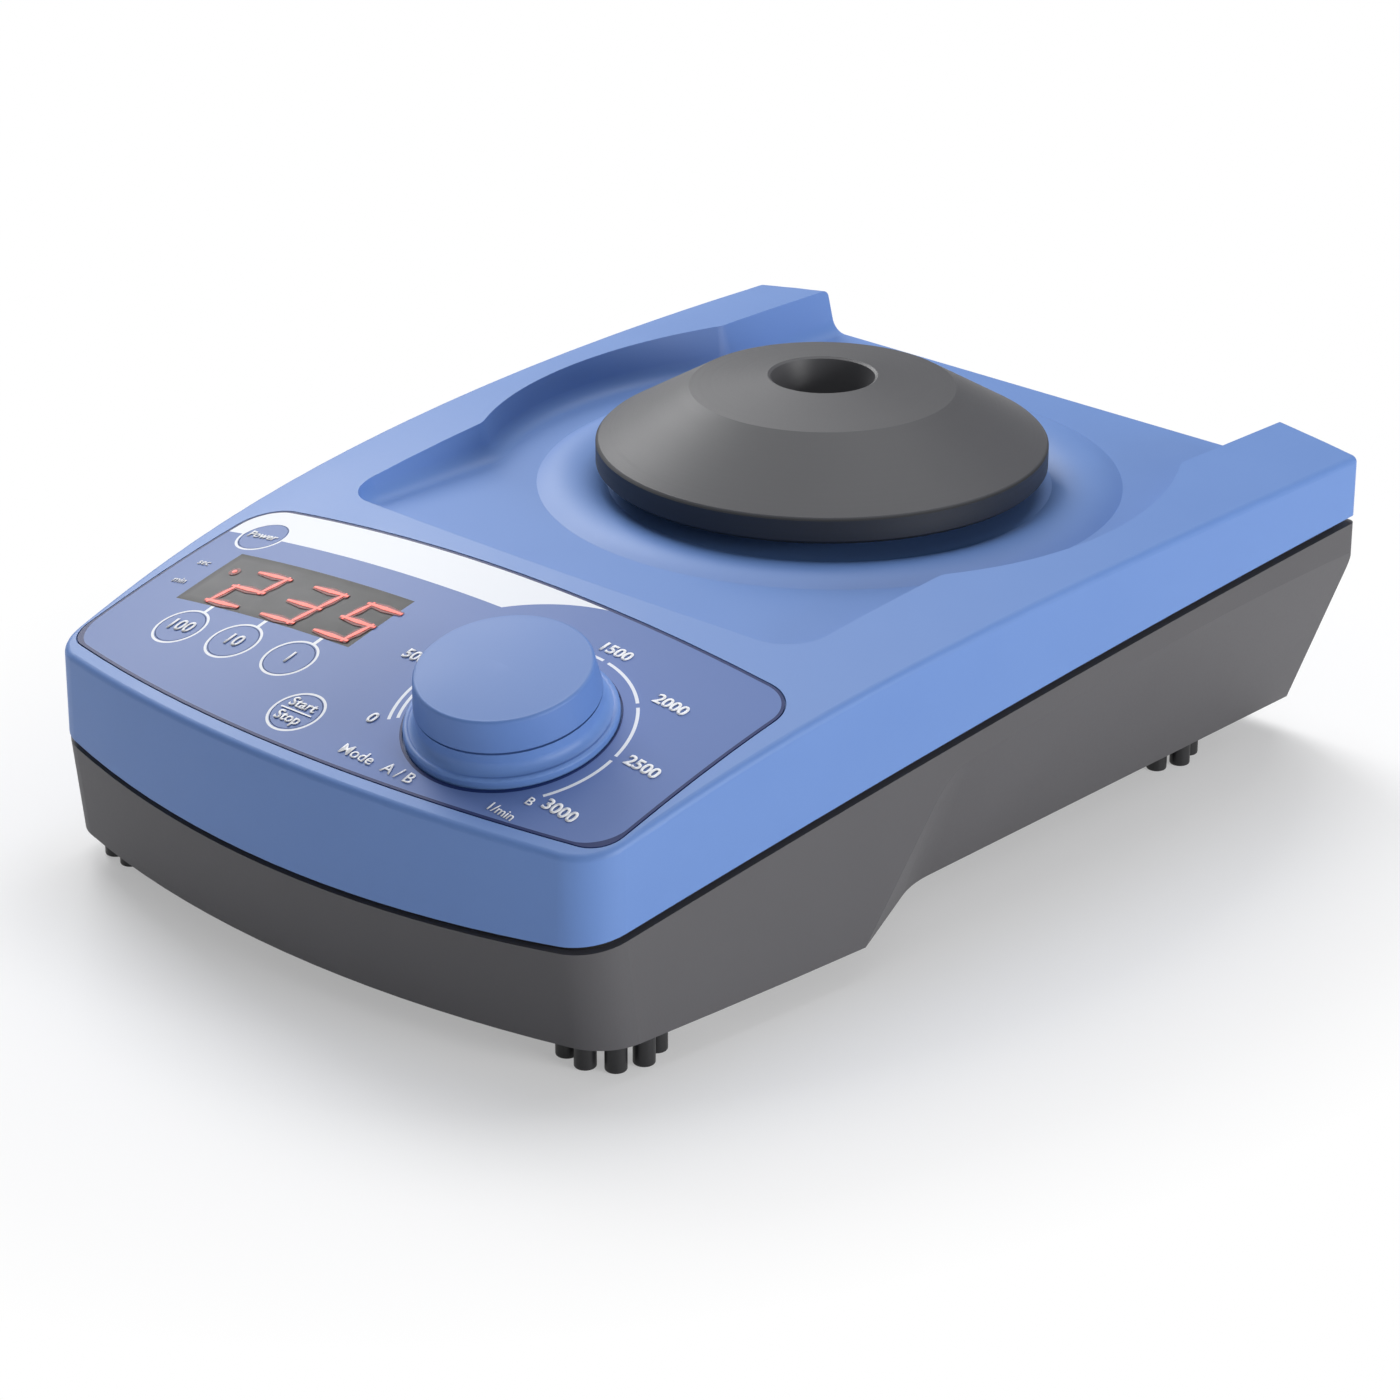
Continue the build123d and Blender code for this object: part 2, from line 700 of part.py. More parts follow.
def platform_screw_places():
    reach = head_flange_radius - 4.5
    return [(reach * cos(radians(a)), reach * sin(radians(a))) for a in (90, 210, 330)]


def platform():
    """The black rubber platform: a cone with a flatter crown, a rim, a cup and a hollow underside."""
    rim_top = platform_rim_z + platform_rim_height
    ceiling = head_flange_z + head_flange_thickness
    cup_floor = platform_top_z - cup_depth
    inner = platform_radius - platform_wall
    body = turned([(0, ceiling), (head_flange_radius + 1, ceiling), (head_flange_radius + 1, ceiling + 2),
                   (inner, platform_rim_z + 3), (inner, platform_rim_z),
                   (platform_radius - 0.6, platform_rim_z), (platform_radius, platform_rim_z + 0.6),
                   (platform_radius, rim_top - 0.5), (platform_radius - 0.5, rim_top),
                   (platform_break_radius, platform_break_z), (cup_radius + 0.3, platform_top_z),
                   (cup_radius - 0.2, platform_top_z - 0.3), (cup_floor_radius + 0.8, cup_floor + 1.6),
                   (cup_floor_radius - 1.4, cup_floor), (0, cup_floor)])
    for x, y in platform_screw_places():
        body -= Pos(x, y, ceiling) * extrude(Circle(screw_radius), platform_screw_grip + 1)
    return head_axis * body


def keypad_film():
    """The printed film in its recess, with openings for the window, the keys and the pedestal."""
    film = (extrude(film_outline(), tall) & crown()) - crown(film_thickness)
    film -= extrude(window_outline(), tall)
    film -= knob_place() * rod(pedestal_radius + film_gap, 20, -8)
    for x, y in key_places.values():
        film -= panel_place(x, y) * rod(key_radius + key_gap, 12, -8)
    return film


def display_window():
    """The tinted pane over the display, flush with the film."""
    return (extrude(window_outline(), tall) & crown()) - crown(film_thickness)


def key(x, y):
    """One key: a cap flush with the film and a stem that reaches down to its switch."""
    cap = (panel_place(x, y) * rod(key_radius, 8, -housing_wall)) & crown()
    reach = stem_length(x, y)
    return cap + panel_place(x, y) * rod(key_stem_radius, reach - housing_wall + 0.5, -reach)


def stem_length(x, y):
    """From the top surface down to a switch's plunger, with the key at rest."""
    return board_distance(x, y) - switch_height - key_travel - 0.05


def board_distance(x, y):
    """Depth of the control board's upper face under the surface, along the key's travel."""
    offset = Vector(x, y, surface_z(x, y)) - board_place().origin
    return offset.dot(board_place().z_dir)


def on_board(x, y):
    """The place on the board's upper face straight under a key."""
    spot = panel_place(x, y)
    return spot.offset(-board_distance(x, y))


def control_board():
    """The board under the panel, notched round the housing's screw post."""
    board = board_place()
    width = board_right - board_left
    depth = (board_back - board_front) / cos(radians(panel_tilt)) - 4
    plate = board * extrude(Rectangle(width, depth), -board_thickness)
    x, y = housing_screw_places[0]
    plate -= Pos(x, y) * extrude(Circle(boss_radius + 0.8), tall)
    return plate & extrude(plan(housing_wall + 1), tall)


def key_switches():
    """The five push switches on the control board."""
    switches = []
    for x, y in key_places.values():
        body = extrude(Rectangle(switch_size, switch_size), switch_height - 0.6)
        body += rod(1.75, switch_height, 0)
        switches.append(on_board(x, y) * body)
    return switches


def display_module():
    """The three-digit display block that stands on the control board under its window."""
    board = board_place()
    block = extrude(Rectangle(window_width - display_margin, window_depth - display_margin), board_depth)
    spot = board.to_local_coords(Vector(window_x, window_y, surface_z(window_x, window_y)))
    block = board * Pos(spot.X, spot.Y) * block
    return block & crown(film_thickness + 0.4)


def potentiometer():
    """The potentiometer under the pedestal."""
    bore = spindle_radius + running_clearance
    bush = spindle_radius + bush_wall
    top = -housing_wall - potentiometer_seat
    low = top - potentiometer_height
    body = turned([(bore, low), (potentiometer_radius, low), (potentiometer_radius, top), (bush, top),
                   (bush, pedestal_height - 0.2), (bore, pedestal_height - 0.2)])
    return knob_place() * body


def potentiometer_spindle():
    low = -housing_wall - potentiometer_seat - potentiometer_height
    top = pedestal_height + knob_gap + knob_bore_depth
    return knob_place() * rod(spindle_radius, top - low, low)


def speed_knob():
    """The turned knob with its slight taper and crowned top."""
    low = pedestal_height + knob_gap
    top = low + knob_height
    line = Polyline((spindle_radius, 0, low), (knob_radius, 0, low), (knob_top_radius + 0.1, 0, top - 0.6))
    edge = ThreePointArc(line @ 1, (knob_top_radius - 0.1, 0, top - 0.15), (knob_top_radius - 0.6, 0, top))
    rim = (edge @ 1).X
    dome_radius = (rim ** 2 + knob_crown ** 2) / (2 * knob_crown)
    middle_z = top + knob_crown - dome_radius + (dome_radius ** 2 - rim ** 2 / 4) ** 0.5
    dome = ThreePointArc(edge @ 1, (rim / 2, 0, middle_z), (0, 0, top + knob_crown))
    inside = low + knob_bore_depth
    cap = Polyline(dome @ 1, (0, 0, inside), (spindle_radius, 0, inside), line @ 0)
    outline = make_face(Wire([*line.edges(), *edge.edges(), *dome.edges(), *cap.edges()]))
    return knob_place() * revolve(outline, Axis.Z)


def drive_board():
    """The motor driver board over the ballast, with its capacitor, connector and power stage."""
    width, depth = drive_board_size
    board = extrude(Rectangle(width, depth), board_thickness)
    for x, y in capacitor_places:
        board += Pos(x, y) * extrude(Circle(capacitor_radius), capacitor_height)
    for x, y, length, depth, height in drive_board_blocks:
        board += Pos(x, y) * extrude(Rectangle(length, depth), height)
    board = Pos(0, drive_board_y, drive_board_z) * board
    for x, y in drive_board_corners():
        board -= Pos(x, y, drive_board_z) * extrude(Circle(screw_radius), board_thickness)
    return board


def board_spacers():
    """Hollow pillars between the ballast plate and the driver board."""
    low = base_floor_z + ballast_thickness
    spacer = ring(spacer_radius, screw_radius, drive_board_z - low, low)
    return [Pos(x, y) * spacer for x, y in drive_board_corners()]


def power_inlet():
    """The round socket for the power supply in the back of the base."""
    body = extrude(Circle(inlet_radius) - Circle(inlet_bore_radius), inlet_depth)
    body += Pos(0, 0, inlet_depth) * extrude(Circle(inlet_radius), 2)
    body += Pos(0, 0, 1) * extrude(Circle(inlet_pin_radius), inlet_depth)
    body += extrude(Circle(inlet_radius + inlet_flange) - Circle(inlet_bore_radius), inlet_flange_depth)
    return Pos(inlet_x, rear_y, inlet_z) * Rotation(90, 0, 0) * body


def save(node, shape):
    solids = [s for piece in (shape if isinstance(shape, list) else [shape]) for s in piece.solids()]
    export_step(Compound(solids) if len(solids) > 1 else solids[0], f"parts/{node}.step")


def main():
    os.makedirs("parts", exist_ok=True)
    save("top_housing", top_housing())
    save("base_housing", base_housing())
    save("seam_gasket", seam_gasket())
    for node, (x, y) in foot_places.items():
        save(node, Pos(x, y) * foot())
    save("ballast_plate", ballast_plate())
    head_z = base_floor_z + ballast_thickness + screw_head_height
    ballast_screw = Pos(0, 0, head_z) * screw(head_z - base_floor_z + ballast_screw_grip)
    save("ballast_screws", [Pos(x, y) * ballast_screw for x, y in ballast_holes()])
    save("housing_screws", [upward_screw(x, y, housing_screw_length) for x, y in housing_screw_places])
    rise = bracket_z + bracket_thickness - foot_height
    save("bracket_screws", [upward_screw(x, y, rise) for x, y in bracket_posts()])
    save("motor_bracket", motor_bracket())
    save("motor_stator", motor_stator())
    bearing = ring(shaft_bearing_radius, shaft_radius + running_clearance, bracket_thickness, bracket_z)
    save("shaft_bearing", drive_axis * bearing)
    bearing = ring(idler_bearing_radius, idler_pin_radius + running_clearance, bracket_thickness, bracket_z)
    save("idler_bearings", [Pos(x, y) * bearing for x, y in idler_places()])
    save("motor_shaft", drive_axis * rod(shaft_radius, hub_z + hub_height - rotor_z, rotor_z))
    save("motor_rotor", motor_rotor())
    save("eccentric", eccentric())
    save("counterweight", counterweight())
    for number, (x, y) in enumerate(idler_places(), 1):
        save(f"idler_crank_{number}", Pos(x, y) * idler_crank())
    save("guide_plate", guide_plate())
    bearing = ring(main_bearing_radius, journal_radius + running_clearance, main_bearing_height, bearing_z)
    save("main_bearing", head_axis * bearing)
    save("shaker_head", shaker_head())
    stud = head_axis * rod(screw_radius, guide_thickness + head_screw_grip, guide_z)
    save("head_screws", [Pos(x, y) * stud for x, y in head_screw_places()])
    save("platform", platform())
    stud = head_axis * rod(screw_radius, head_flange_thickness + platform_screw_grip, head_flange_z)
    save("platform_screws", [Pos(x, y) * stud for x, y in platform_screw_places()])
    save("keypad_film", keypad_film())
    save("display_window", display_window())
    save("display_module", display_module())
    for node, (x, y) in key_places.items():
        save(node, key(x, y))
    save("control_board", control_board())
    save("key_switches", key_switches())
    save("potentiometer", potentiometer())
    save("potentiometer_spindle", potentiometer_spindle())
    save("speed_knob", speed_knob())
    save("drive_board", drive_board())
    save("board_spacers", board_spacers())
    save("power_inlet", power_inlet())


main()
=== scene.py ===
# microplate shaker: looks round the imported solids, metres, +X right, +Y back, +Z up
import math

import bpy
from mathutils import Euler, Matrix, Vector
from mathutils.bvhtree import BVHTree


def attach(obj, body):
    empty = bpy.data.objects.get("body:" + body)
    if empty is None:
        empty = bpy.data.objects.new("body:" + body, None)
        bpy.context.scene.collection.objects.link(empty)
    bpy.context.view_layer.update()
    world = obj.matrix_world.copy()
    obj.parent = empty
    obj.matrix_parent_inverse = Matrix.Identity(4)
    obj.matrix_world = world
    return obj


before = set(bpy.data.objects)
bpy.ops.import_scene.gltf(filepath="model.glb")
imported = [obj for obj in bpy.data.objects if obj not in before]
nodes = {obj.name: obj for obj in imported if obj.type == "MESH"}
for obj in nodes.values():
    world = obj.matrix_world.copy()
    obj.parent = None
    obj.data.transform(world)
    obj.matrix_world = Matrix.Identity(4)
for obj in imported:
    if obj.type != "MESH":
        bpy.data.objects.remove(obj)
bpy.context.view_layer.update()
mm = 0.001
print("frame loaded", len(nodes), "nodes")


# shader sockets as values: an expression adds its Math nodes
class Wire:
    def __init__(self, look, socket):
        self.look = look
        self.socket = socket

    def math(self, operation, *others, clamp=False):
        values = [self.socket] + [getattr(o, "socket", o) for o in others]
        settings = {"operation": operation, "use_clamp": clamp}
        made = self.look.node("ShaderNodeMath", settings, dict(enumerate(values)))
        return Wire(self.look, made.outputs[0])

    def __add__(self, other):
        return self.math("ADD", other)

    def __radd__(self, other):
        return self.math("ADD", other)

    def __sub__(self, other):
        return self.math("SUBTRACT", other)

    def __rsub__(self, other):
        return (self * -1.0) + other

    def __mul__(self, other):
        return self.math("MULTIPLY", other)

    def __truediv__(self, other):
        return self.math("DIVIDE", other)

    def __abs__(self):
        return self.math("ABSOLUTE")

    def root(self):
        return self.math("SQRT")

    def least(self, other):
        return self.math("MINIMUM", other)

    def most(self, other):
        return self.math("MAXIMUM", other)

    def above(self, edge, soft=0.02):
        return ((self - edge) / soft + 0.5).math("ADD", 0.0, clamp=True)  # 0 below the edge, 1 above it

    def below(self, edge, soft=0.02):
        return 1.0 - self.above(edge, soft)


# the nodes of one material, or of the world
class Look:
    def __init__(self, owner, shader="Principled BSDF", output="Material Output"):
        owner.use_nodes = True
        self.owner = owner
        self.tree = owner.node_tree
        self.shader = self.tree.nodes[shader]
        self.output = self.tree.nodes[output]

    def node(self, kind, settings=None, inputs=None):
        made = self.tree.nodes.new(kind)
        for name, value in (settings or {}).items():
            setattr(made, name, value)
        for name, value in (inputs or {}).items():
            self.set(made.inputs[name], value)
        return made

    def set(self, target, value):
        value = getattr(value, "socket", value)
        if isinstance(value, bpy.types.NodeSocket):
            self.tree.links.new(value, target)
        elif isinstance(value, tuple) and len(value) == 3 and target.type == "RGBA":
            target.default_value = (*value, 1.0)
        else:
            target.default_value = value

    def give(self, **values):
        for name, value in values.items():
            self.set(self.shader.inputs[name.replace("_", " ")], value)

    def place(self):
        coordinates = self.node("ShaderNodeTexCoord").outputs["Object"]
        split = self.node("ShaderNodeSeparateXYZ", inputs={"Vector": coordinates})
        x, y, z = (Wire(self, split.outputs[i]) * (1 / mm) for i in range(3))
        return coordinates, x, y, z

    def noise(self, coordinates, scale, detail=3.0, roughness=0.5):
        values = {"Vector": coordinates, "Scale": scale, "Detail": detail, "Roughness": roughness}
        made = self.node("ShaderNodeTexNoise", inputs=values)
        return Wire(self, made.outputs["Fac"])

    def mix(self, amount, first, second):
        made = self.node("ShaderNodeMix", {"data_type": "RGBA"}, {0: amount, 6: first, 7: second})
        return made.outputs[2]

    def bump(self, height, strength, distance):
        values = {"Height": height, "Strength": strength, "Distance": distance}
        self.give(Normal=self.node("ShaderNodeBump", inputs=values).outputs["Normal"])

    def blend(self, amount, first, second):
        made = self.node("ShaderNodeMixShader", inputs={0: amount, 1: first, 2: second})
        self.set(self.output.inputs["Surface"], made.outputs[0])


def newLook(name):
    return Look(bpy.data.materials.new(name))


def shade(hexColour):
    parts = [int(hexColour[i:i + 2], 16) / 255 for i in (0, 2, 4)]
    return tuple(c / 12.92 if c <= 0.04045 else ((c + 0.055) / 1.055) ** 2.4 for c in parts)


# moulded housing and knob
mouldedBlue = {"colour": "6388C8", "worn": "6A8ECC", "roughness": 0.42}
# the knob's blue is a shade darker than the housing's: partly its own tone, partly painted shade for its
# shadowed side
knobBlue = {"colour": "5B80C1", "worn": "6285C4", "roughness": 0.44}
mould = {"cloud": 60.0, "grain": 2600.0, "depth": 0.02 * mm}


def makeMouldedBlue(name, finish):
    look = newLook(name)
    spot = look.place()[0]
    cloud = look.noise(spot, mould["cloud"], 4.0)
    grain = look.noise(spot, mould["grain"], 2.0)
    look.give(Base_Color=look.mix(cloud, shade(finish["colour"]), shade(finish["worn"])),
              Roughness=cloud * 0.1 + finish["roughness"] + grain * 0.06)
    look.bump(grain, 0.25, mould["depth"])
    return look.owner


castGrey = {"colour": "4E4D50", "light": "5A595C", "roughness": 0.5, "cloud": 35.0, "grain": 1900.0,
            "depth": 0.05 * mm}


def makeCastGrey():
    look = newLook("castGrey")
    spot = look.place()[0]
    cloud = look.noise(spot, castGrey["cloud"], 4.0)
    grain = look.noise(spot, castGrey["grain"], 3.0, 0.6)
    mottle = cloud * 0.6 + grain * 0.4
    look.give(Base_Color=look.mix(mottle, shade(castGrey["colour"]), shade(castGrey["light"])),
              Roughness=grain * 0.14 + castGrey["roughness"])
    look.bump(grain, 0.35, castGrey["depth"])
    return look.owner


platformRubber = {"colour": "47474A", "light": "525255", "rim": "26272A", "rimTop": 61.0, "centreY": 36.4,
                  "roughness": 0.4, "turning": 2200.0, "cloud": 45.0, "dust": 4200.0, "depth": 0.03 * mm}


def makePlatformRubber():
    look = newLook("platformRubber")
    spot, x, y, z = look.place()
    out = y - platformRubber["centreY"]
    radius = (x * x + out * out).root()
    turned = look.node("ShaderNodeCombineXYZ", inputs={0: radius * mm, 1: z * mm}).outputs[0]
    rings = look.noise(turned, platformRubber["turning"], 3.0)
    cloud = look.noise(spot, platformRubber["cloud"], 4.0)
    dust = look.noise(spot, platformRubber["dust"], 2.0)
    mottle = cloud * 0.5 + rings * 0.5
    cone = look.mix(mottle, shade(platformRubber["colour"]), shade(platformRubber["light"]))
    # painted shade: below rimTop the rim is coloured darker than the cone, for the shade on its front-facing
    # side
    shadedRim = z.below(platformRubber["rimTop"], 0.3)
    look.give(Base_Color=look.mix(shadedRim, cone, shade(platformRubber["rim"])),
              Roughness=rings * 0.1 + dust * 0.1 + platformRubber["roughness"])
    look.bump(rings * 0.6 + dust * 0.4, 0.3, platformRubber["depth"])
    return look.owner


smallRubber = {"cloud": 120.0, "grain": 1500.0, "lighter": 1.5, "depth": 0.03 * mm}


def makeRubber(name, colour, roughness):
    look = newLook(name)
    spot = look.place()[0]
    grain = look.noise(spot, smallRubber["grain"], 3.0)
    cloud = look.noise(spot, smallRubber["cloud"], 3.0)
    light = tuple(c * smallRubber["lighter"] for c in shade(colour))
    look.give(Base_Color=look.mix(cloud, shade(colour), light), Roughness=grain * 0.15 + roughness)
    look.bump(grain, 0.3, smallRubber["depth"])
    return look.owner


metal = {"brushing": 900.0, "along": (1.0, 1.0, 18.0), "even": (1.0, 1.0, 1.0), "darker": 0.82,
         "depth": 0.02 * mm}


def makeMetal(name, colour, roughness, scale=metal["brushing"], stretch=metal["along"]):
    look = newLook(name)
    spot = look.place()[0]
    stretched = look.node("ShaderNodeMapping", inputs={"Vector": spot, "Scale": stretch}).outputs[0]
    brushing = look.noise(stretched, scale, 4.0, 0.6)
    dark = tuple(c * metal["darker"] for c in shade(colour))
    look.give(Base_Color=look.mix(brushing, dark, shade(colour)), Metallic=1.0,
              Roughness=brushing * 0.2 + roughness)
    look.bump(brushing, 0.15, metal["depth"])
    return look.owner


blackPlastic = {"colour": "161617", "lighter": 1.25, "roughness": 0.45, "grain": 1800.0, "depth": 0.02 * mm}


def makeBlackPlastic():
    look = newLook("blackPlastic")
    spot = look.place()[0]
    grain = look.noise(spot, blackPlastic["grain"], 2.0)
    light = tuple(c * blackPlastic["lighter"] for c in shade(blackPlastic["colour"]))
    look.give(Base_Color=look.mix(grain, shade(blackPlastic["colour"]), light),
              Roughness=grain * 0.12 + blackPlastic["roughness"])
    look.bump(grain, 0.2, blackPlastic["depth"])
    return look.owner


board = {"copper": "2E7A45", "lacquer": "1B5230", "tracks": 260.0, "trackHalf": 0.06, "roughness": 0.4}


def makeBoard():
    look = newLook("circuitBoard")
    values = {"Vector": look.place()[0], "Scale": board["tracks"]}
    cells = look.node("ShaderNodeTexVoronoi", {"feature": "DISTANCE_TO_EDGE"}, values)
    lacquer = Wire(look, cells.outputs["Distance"]).above(board["trackHalf"])
    look.give(Base_Color=look.mix(lacquer, shade(board["copper"]), shade(board["lacquer"])),
              Roughness=board["roughness"] + lacquer * 0.1)
    return look.owner


# printed film: the outline, the rings of the keys, the scale and the banner are part of its colour
film = {
    "colour": "6079B2", "grain": "667EB6", "line": "1E3066", "white": "E9ECF2", "gloss": 0.2,
    "roughness": 0.38, "cloudScale": 70.0, "grainScale": 3800.0, "depth": 0.02 * mm,
    "half": 64.5, "back": -42.3, "frontCentre": 119.6, "frontRadius": 218.9,
    "rearCorner": 7.0, "frontCorner": 6.0, "lineWidth": 0.55,
    "keys": [(-55.2, -51.9), (-44.9, -81.0), (-31.2, -81.0), (-17.2, -80.9), (-4.2, -91.5)],
    "keyRing": (4.72, 5.2), "ledKeys": (1, 2, 3), "leaderHalf": 0.4, "leaderShift": 0.9,
    "leaderEnds": (4.7, -74.0), "bannerFront": -52.2, "bannerArc": 34.0, "bannerRight": 22.0,
    "knob": (29.8, -75.0), "pedestal": 18.6, "foreshortening": 0.976,
    "scaleRadius": 21.0, "scaleHalf": 0.3, "scaleOpen": (-149.0, -32.0),
    "scaleGaps": (84.5, 45.5, 6.5, 172.0), "gapHalf": 1.6,
    "lowRange": (174.0, -150.0), "lowRangeInset": 1.5,
}


def makeFilm():
    look = newLook("panelFilm")
    spot, x, y, z = look.place()
    cloud = look.noise(spot, film["cloudScale"], 3.0)
    grain = look.noise(spot, film["grainScale"], 2.0)
    colour = look.mix(cloud * 0.5 + grain * 0.5, shade(film["colour"]), shade(film["grain"]))
    across, along, fromKnob = placeFrom(x, y, film["knob"])
    turn = look.node("ShaderNodeMath", {"operation": "ARCTAN2"}, {0: along, 1: across}).outputs[0]
    degrees = Wire(look, turn) * (180.0 / math.pi)
    white = printedBanner(x, y, fromKnob)
    for number, key in enumerate(film["keys"]):
        fromKey = placeFrom(x, y, key)[2]
        if number == 0:
            white = white * fromKey.above(film["keyRing"][0])
        white = white.most(printedRing(x, y, fromKey, key, number in film["ledKeys"]))
    white = white.most(printedScale(fromKnob, degrees))
    colour = look.mix(white, colour, shade(film["white"]))
    dark = filmEdge(x, y).above(-film["lineWidth"]).most(fromKnob.below(film["pedestal"]))
    look.give(Base_Color=look.mix(dark, colour, shade(film["line"])),
              Roughness=film["roughness"] + grain * 0.12, Specular_IOR_Level=film["gloss"])
    look.bump(grain, 0.2, film["depth"])
    return look.owner


# steps and distance from a place on the sloping panel
def placeFrom(x, y, place):
    across, along = x - place[0], (y - place[1]) / film["foreshortening"]
    return across, along, (across * across + along * along).root()


# 0 at the film's edge, and less inside
def filmEdge(x, y):
    side = abs(x) - film["half"]
    toFront = y - film["frontCentre"]
    front = (x * x + toFront * toFront).root() - film["frontRadius"]
    rear = roundedCorner(side, y - film["back"], film["rearCorner"])
    return rear.most(roundedCorner(side, front, film["frontCorner"]))


def printedBanner(x, y, fromKnob):
    return y.above(film["bannerFront"]) * fromKnob.above(film["bannerArc"]) * x.below(film["bannerRight"])


def printedRing(x, y, fromKey, key, leads):
    inner, outer = film["keyRing"]
    ring = fromKey.above(inner) * fromKey.below(outer)
    if leads:
        start, end = film["leaderEnds"]
        leader = abs(x - key[0] - film["leaderShift"]).below(film["leaderHalf"]) * y.below(end)
        ring = ring.most(leader * (y - key[1]).above(start))
    return ring


def printedScale(fromKnob, degrees):
    low, high = film["scaleOpen"]
    line = abs(fromKnob - film["scaleRadius"]).below(film["scaleHalf"])
    for gap in film["scaleGaps"]:
        line = line * (1.0 - abs(degrees - gap).below(film["gapHalf"]))
    line = line * (1.0 - degrees.above(low) * degrees.below(high))
    start, end = film["lowRange"]
    inner = abs(fromKnob - film["scaleRadius"] + film["lowRangeInset"]).below(film["scaleHalf"])
    return line.most(inner * degrees.above(start).most(degrees.below(end)))


def roundedCorner(first, second, radius):
    a = (first + radius).most(0.0)
    b = (second + radius).most(0.0)
    return (a * a + b * b).root() - radius + (first + radius).most(second + radius).least(0.0)


window = {"dark": "101012", "light": "4C4C4F", "centre": (-31.8, -66.2), "half": (22.0, 7.9), "rim": 1.0,
          "rimFade": 1.4, "gloss": 0.2, "roughness": 0.42, "cloud": 300.0,
          "paintedSheen": 0.62, "sheenRight": 0.3, "sheenBack": 0.1, "sheenAway": 0.35, "sheenRow": 0.15, "least": 0.12}


# dark glass with a painted sheen, a painted reflection that fades towards its right end and its rim
def makeWindow():
    look = newLook("displayWindow")
    spot, x, y, z = look.place()
    (centreX, centreY), (halfX, halfY) = window["centre"], window["half"]
    across, along = (x - centreX) / halfX, (y - centreY) / halfY
    # painted reflection: lighter towards the left and the back, brightest along one band
    level = window["paintedSheen"] - across * window["sheenRight"] + along * window["sheenBack"]
    level = level - abs(along + window["sheenRow"]) * window["sheenAway"]
    inside = (halfX - abs(x - centreX)).least(halfY - abs(y - centreY))
    paintedSheen = level.math("MAXIMUM", window["least"], clamp=True) * inside.above(window["rim"], window["rimFade"])
    look.give(Base_Color=look.mix(paintedSheen, shade(window["dark"]), shade(window["light"])),
              Roughness=window["roughness"] + look.noise(spot, window["cloud"]) * 0.06,
              Specular_IOR_Level=window["gloss"])
    return look.owner


ink = {"white": "EDEFF4", "light": "F8F9FB", "roughness": 0.45, "grain": 2500.0}


def makeInk():
    look = newLook("whiteInk")
    grain = look.noise(look.place()[0], ink["grain"], 2.0)
    look.give(Base_Color=look.mix(grain, shade(ink["white"]), shade(ink["light"])),
              Roughness=ink["roughness"] + grain * 0.1)
    return look.owner


segmentLight = {"dark": "2A0806", "lit": "F2503C", "warm": "FF6A55", "strength": 1.0, "roughness": 0.4,
                "grain": 900.0}


def makeLitSegments():
    look = newLook("litSegments")
    grain = look.noise(look.place()[0], segmentLight["grain"], 2.0)
    look.give(Base_Color=shade(segmentLight["dark"]), Roughness=segmentLight["roughness"] + grain * 0.1,
              Emission_Color=look.mix(grain * 0.4, shade(segmentLight["lit"]), shade(segmentLight["warm"])),
              Emission_Strength=segmentLight["strength"])
    return look.owner


halo = {"colour": "3A1412", "light": "45181A", "lit": "B02A22", "strength": 0.35, "alpha": 0.55}


# dim red round the lit strokes, half seen through
def makeHalo():
    look = newLook("segmentHalo")
    grain = look.noise(look.place()[0], segmentLight["grain"], 2.0)
    look.give(Base_Color=look.mix(grain, shade(halo["colour"]), shade(halo["light"])),
              Roughness=segmentLight["roughness"] + grain * 0.1, Alpha=halo["alpha"],
              Emission_Color=shade(halo["lit"]), Emission_Strength=halo["strength"])
    return look.owner


finishes = {
    "top_housing": makeMouldedBlue("mouldedBlue", mouldedBlue),
    "knob": makeMouldedBlue("knobBlue", knobBlue),
    "base_housing": makeCastGrey(),
    "platform": makePlatformRubber(),
    "seam_gasket": makeRubber("gasketRubber", "0C0C0D", 0.6),
    "feet": makeRubber("footRubber", "1C1C1E", 0.35),
    "steel": makeMetal("platedSteel", "B9BBBF", 0.3),
    "polished": makeMetal("bearingSteel", "CBCDD0", 0.15, 1400.0),
    "aluminium": makeMetal("machinedAluminium", "C9CBCE", 0.32, 700.0, metal["even"]),
    "brass": makeMetal("turnedBrass", "C9A24B", 0.28),
    "core": makeMetal("blackenedCore", "3B3B40", 0.45),
    "black": makeBlackPlastic(),
    "board": makeBoard(),
    "film": makeFilm(),
    "window": makeWindow(),
    "ink": makeInk(),
    "digits": makeLitSegments(),
    "halo": makeHalo(),
}
wearers = {
    "top_housing": ["top_housing"],
    "knob": ["speed_knob"],
    "base_housing": ["base_housing"],
    "platform": ["platform"],
    "seam_gasket": ["seam_gasket"],
    "feet": ["foot_front_left", "foot_front_right", "foot_rear_left", "foot_rear_right"],
    "film": ["keypad_film", "key_power", "key_hundreds", "key_tens", "key_units", "key_start_stop"],
    "window": ["display_window"],
    "steel": ["ballast_plate", "ballast_screws", "housing_screws", "bracket_screws", "head_screws",
              "platform_screws", "motor_shaft", "eccentric", "potentiometer_spindle", "idler_crank_1",
              "idler_crank_2", "idler_crank_3"],
    "polished": ["shaft_bearing", "idler_bearings", "main_bearing"],
    "aluminium": ["motor_bracket", "guide_plate", "shaker_head"],
    "core": ["motor_rotor", "motor_stator"],
    "brass": ["counterweight", "board_spacers"],
    "black": ["display_module", "key_switches", "potentiometer", "power_inlet"],
    "board": ["control_board", "drive_board"],
}
for finish, names in wearers.items():
    for name in names:
        nodes[name].data.materials.clear()
        nodes[name].data.materials.append(finishes[finish])
print("finishes given")


